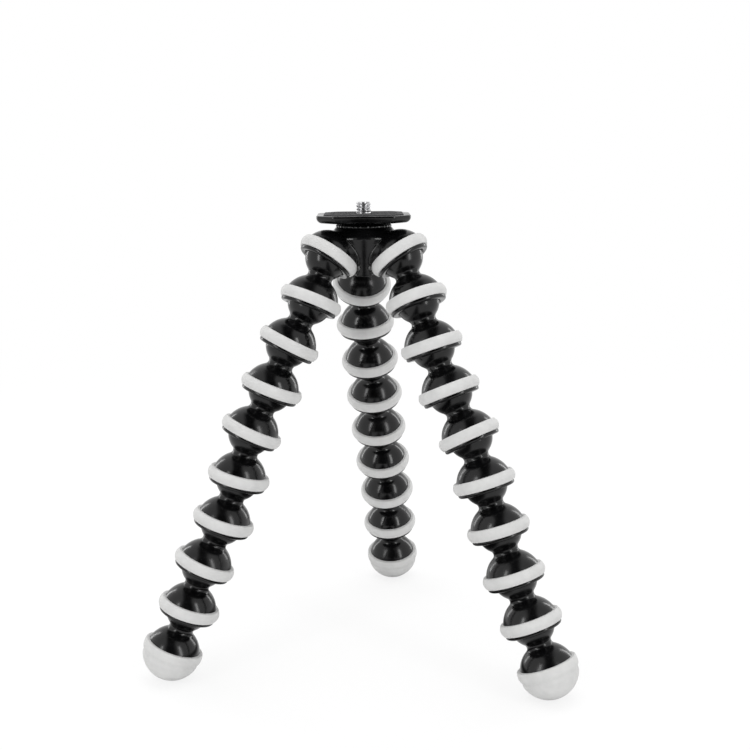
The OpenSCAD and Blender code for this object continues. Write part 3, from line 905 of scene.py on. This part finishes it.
class TRIPOD_OT_stage(Operator):
    """Set up the pale floor, the white surroundings, the soft lights and the camera"""

    bl_idname = "tripod.stage"
    bl_label = "Stage"

    def execute(self, context):
        context.scene.view_settings.view_transform = "Standard"
        self.floor(context)
        self.world(context)
        self.lights(context)
        self.dark_screens(context)
        self.camera(context)
        return {"FINISHED"}

    def floor(self, context):
        """A wide pale floor that keeps the tripod's shadow."""
        bpy.ops.object.select_all(action="DESELECT")
        at = (0.0, 0.0, CAD_BOX[0].z - FLOOR_GAP)
        bpy.ops.mesh.primitive_plane_add(size=FLOOR_SIZE, location=at)
        floor = context.object
        floor.name = "floor"
        material, tree, surface = shader("floor_white")
        base = tuple(context.scene.tripod_colours.floor)
        surface.inputs["Base Color"].default_value = (*base, 1.0)
        surface.inputs["Roughness"].default_value = 0.8
        surface.inputs["Specular IOR Level"].default_value = 0.0
        glow = tree.nodes.new("ShaderNodeEmission")
        glow.inputs["Color"].default_value = WHITE
        glow.inputs["Strength"].default_value = 1.0
        path = tree.nodes.new("ShaderNodeLightPath")
        coords = tree.nodes.new("ShaderNodeTexCoord")
        distance = tree.nodes.new("ShaderNodeVectorMath")
        distance.operation = "LENGTH"
        tree.links.new(coords.outputs["Object"], distance.inputs[0])
        whiten = tree.nodes.new("ShaderNodeMapRange")
        whiten.interpolation_type = "SMOOTHSTEP"
        whiten.inputs["From Min"].default_value = 0.15
        whiten.inputs["From Max"].default_value = 0.9
        whiten.inputs["To Min"].default_value = 0.8
        whiten.inputs["To Max"].default_value = 1.0
        tree.links.new(distance.outputs["Value"], whiten.inputs["Value"])
        share = tree.nodes.new("ShaderNodeMath")
        share.operation = "MULTIPLY"
        tree.links.new(whiten.outputs["Result"], share.inputs[1])
        mix = tree.nodes.new("ShaderNodeMixShader")
        seen = self.seen(tree, path)
        tree.links.new(seen, share.inputs[0])
        tree.links.new(share.outputs["Value"], mix.inputs["Fac"])
        tree.links.new(surface.outputs["BSDF"], mix.inputs[1])
        tree.links.new(glow.outputs["Emission"], mix.inputs[2])
        tree.links.new(mix.outputs["Shader"], tree.nodes["Material Output"].inputs["Surface"])
        floor.data.materials.append(material)

    def seen(self, tree, path):
        """One where the camera, a reflection or a see-through ray looks, else zero."""
        total = path.outputs["Is Camera Ray"]
        for name in ("Is Glossy Ray", "Is Transmission Ray"):
            both = tree.nodes.new("ShaderNodeMath")
            both.operation = "MAXIMUM"
            tree.links.new(total, both.inputs[0])
            tree.links.new(path.outputs[name], both.inputs[1])
            total = both.outputs["Value"]
        return total

    def world(self, context):
        """White surroundings to look at, and a soft even light."""
        world = bpy.data.worlds.new("white_room")
        world.use_nodes = True
        context.scene.world = world
        tree = world.node_tree
        background = tree.nodes["Background"]
        background.inputs["Color"].default_value = WHITE
        path = tree.nodes.new("ShaderNodeLightPath")
        level = tree.nodes.new("ShaderNodeMapRange")
        level.inputs["To Min"].default_value = 0.62
        level.inputs["To Max"].default_value = 1.0
        tree.links.new(self.seen(tree, path), level.inputs["Value"])
        tree.links.new(level.outputs["Result"], background.inputs["Strength"])

    def lights(self, context):
        """A broad light overhead and tall strips on both sides, in front and behind."""
        aim = Vector((0.0, 0.0, -0.1))
        for name, at, size, power in (
            ("overhead", (0.0, 0.1, 1.1), (1.2, 1.2), 9.0),
            ("left_strip", (-0.9, -0.9, 0.15), (0.2, 1.3), 6.0),
            ("right_strip", (0.9, -0.9, 0.15), (0.2, 1.3), 6.0),
            ("left_rim_strip", (-0.95, 0.85, 0.1), (0.14, 1.3), 3.0),
            ("right_rim_strip", (0.95, 0.85, 0.1), (0.14, 1.3), 3.0),
        ):
            lamp = bpy.data.lights.new(name, "AREA")
            lamp.shape = "RECTANGLE"
            lamp.size, lamp.size_y = size
            lamp.energy = power
            holder = bpy.data.objects.new(name, lamp)
            context.scene.collection.objects.link(holder)
            holder.location = at
            holder.rotation_mode = "QUATERNION"
            holder.rotation_quaternion = (aim - Vector(at)).to_track_quat("-Z", "Y")
            holder.visible_glossy = name != "overhead"

    def dark_cloth(self):
        """Black cloth that fades out towards the edges of its screen."""
        material, tree, surface = shader("dark_cloth")
        surface.inputs["Base Color"].default_value = (0.01, 0.01, 0.01, 1.0)
        surface.inputs["Roughness"].default_value = 1.0
        surface.inputs["Specular IOR Level"].default_value = 0.0
        coords = tree.nodes.new("ShaderNodeTexCoord")
        middle = tree.nodes.new("ShaderNodeVectorMath")
        middle.operation = "SUBTRACT"
        middle.inputs[1].default_value = (0.5, 0.5, 0.0)
        tree.links.new(coords.outputs["UV"], middle.inputs[0])
        apart = tree.nodes.new("ShaderNodeVectorMath")
        apart.operation = "ABSOLUTE"
        tree.links.new(middle.outputs["Vector"], apart.inputs[0])
        axes = tree.nodes.new("ShaderNodeSeparateXYZ")
        tree.links.new(apart.outputs["Vector"], axes.inputs["Vector"])
        furthest = tree.nodes.new("ShaderNodeMath")
        furthest.operation = "MAXIMUM"
        tree.links.new(axes.outputs["X"], furthest.inputs[0])
        tree.links.new(axes.outputs["Y"], furthest.inputs[1])
        fade = tree.nodes.new("ShaderNodeMapRange")
        fade.interpolation_type = "SMOOTHSTEP"
        fade.inputs["From Min"].default_value = 0.2
        fade.inputs["From Max"].default_value = 0.5
        tree.links.new(furthest.outputs["Value"], fade.inputs["Value"])
        clear = tree.nodes.new("ShaderNodeBsdfTransparent")
        mix = tree.nodes.new("ShaderNodeMixShader")
        tree.links.new(fade.outputs["Result"], mix.inputs["Fac"])
        tree.links.new(surface.outputs["BSDF"], mix.inputs[1])
        tree.links.new(clear.outputs["BSDF"], mix.inputs[2])
        tree.links.new(mix.outputs["Shader"], tree.nodes["Material Output"].inputs["Surface"])
        return material

    def dark_screens(self, context):
        """Dark screens behind the camera, overhead and on the floor in front, seen only in reflections."""
        material = self.dark_cloth()
        table_z = CAD_BOX[0].z + SCREEN_GAP
        for name, at, size, tilt in (
            ("dark_front", (0.0, -1.2, 0.4), (1.9, 3.4, 1.0), math.radians(90)),
            ("dark_top", (0.0, -0.4, 1.2), (1.3, 2.2, 1.0), 0.0),
            ("dark_table", (0.0, -0.3, table_z), (0.12, 1.2, 1.0), 0.0),
        ):
            bpy.ops.object.select_all(action="DESELECT")
            bpy.ops.mesh.primitive_plane_add(size=1.0, location=at)
            screen = context.object
            screen.name = name
            screen.scale = size
            screen.rotation_euler = (tilt, 0.0, 0.0)
            settle(screen)
            screen.data.materials.append(material)
            screen.visible_camera = False
            screen.visible_diffuse = False
            screen.visible_shadow = False
            screen.visible_transmission = False

    def camera(self, context):
        """The camera, in front of the tripod and a little above it, looking slightly down."""
        turn_right, look_down, roll = CAMERA_TURNS
        lens = bpy.data.cameras.new("camera")
        lens.sensor_width = SENSOR_MM
        lens.lens = LENS_MM
        lens.clip_start = 0.01
        lens.clip_end = 50.0
        holder = bpy.data.objects.new("camera", lens)
        context.scene.collection.objects.link(holder)
        flat = Vector((math.sin(turn_right), math.cos(turn_right), 0.0))
        ahead = flat * math.cos(look_down) + DOWN * math.sin(look_down)
        level_right = Vector((math.cos(turn_right), -math.sin(turn_right), 0.0))
        level_up = level_right.cross(ahead)
        right = level_right * math.cos(roll) + level_up * math.sin(roll)
        up = right.cross(ahead)
        place = Matrix((right, up, -ahead)).transposed().to_4x4()
        place.translation = CAMERA_AT
        holder.matrix_world = place
        context.scene.camera = holder


class TRIPOD_PT_panel(Panel):
    """Lists the tripod's pieces in the sidebar"""

    bl_label = "Flexible leg tripod"
    bl_idname = "TRIPOD_PT_panel"
    bl_space_type = "VIEW_3D"
    bl_region_type = "UI"
    bl_category = "Tripod"

    def draw(self, context):
        for operator in OPERATORS:
            self.layout.operator(operator.bl_idname)
        for group in ("tripod_sizes", "tripod_head", "tripod_colours"):
            box = self.layout.box()
            settings = getattr(context.scene, group)
            for name in settings.__annotations__:
                box.prop(settings, name)


OPERATORS = (
    TRIPOD_OT_leg_links,
    TRIPOD_OT_grip_rings,
    TRIPOD_OT_feet,
    TRIPOD_OT_hub,
    TRIPOD_OT_locking_ring,
    TRIPOD_OT_plate,
    TRIPOD_OT_pad,
    TRIPOD_OT_screw,
    TRIPOD_OT_stage,
)
CLASSES = (TripodSizes, HeadSizes, TripodColours, *OPERATORS, TRIPOD_PT_panel)


def register():
    """Registers the classes and gives every scene its settings."""
    for item in CLASSES:
        bpy.utils.register_class(item)
    bpy.types.Scene.tripod_sizes = PointerProperty(type=TripodSizes)
    bpy.types.Scene.tripod_head = PointerProperty(type=HeadSizes)
    bpy.types.Scene.tripod_colours = PointerProperty(type=TripodColours)


def unregister():
    """Takes the settings and the classes away again."""
    del bpy.types.Scene.tripod_colours
    del bpy.types.Scene.tripod_head
    del bpy.types.Scene.tripod_sizes
    for item in reversed(CLASSES):
        bpy.utils.unregister_class(item)


def main():
    """Registers the add-on's classes and models every piece."""
    register()
    bpy.ops.tripod.leg_links()
    bpy.ops.tripod.grip_rings()
    bpy.ops.tripod.feet()
    bpy.ops.tripod.hub()
    bpy.ops.tripod.locking_ring()
    bpy.ops.tripod.plate()
    bpy.ops.tripod.pad()
    bpy.ops.tripod.screw()
    bpy.ops.tripod.stage()


if __name__ == "__main__":
    main()
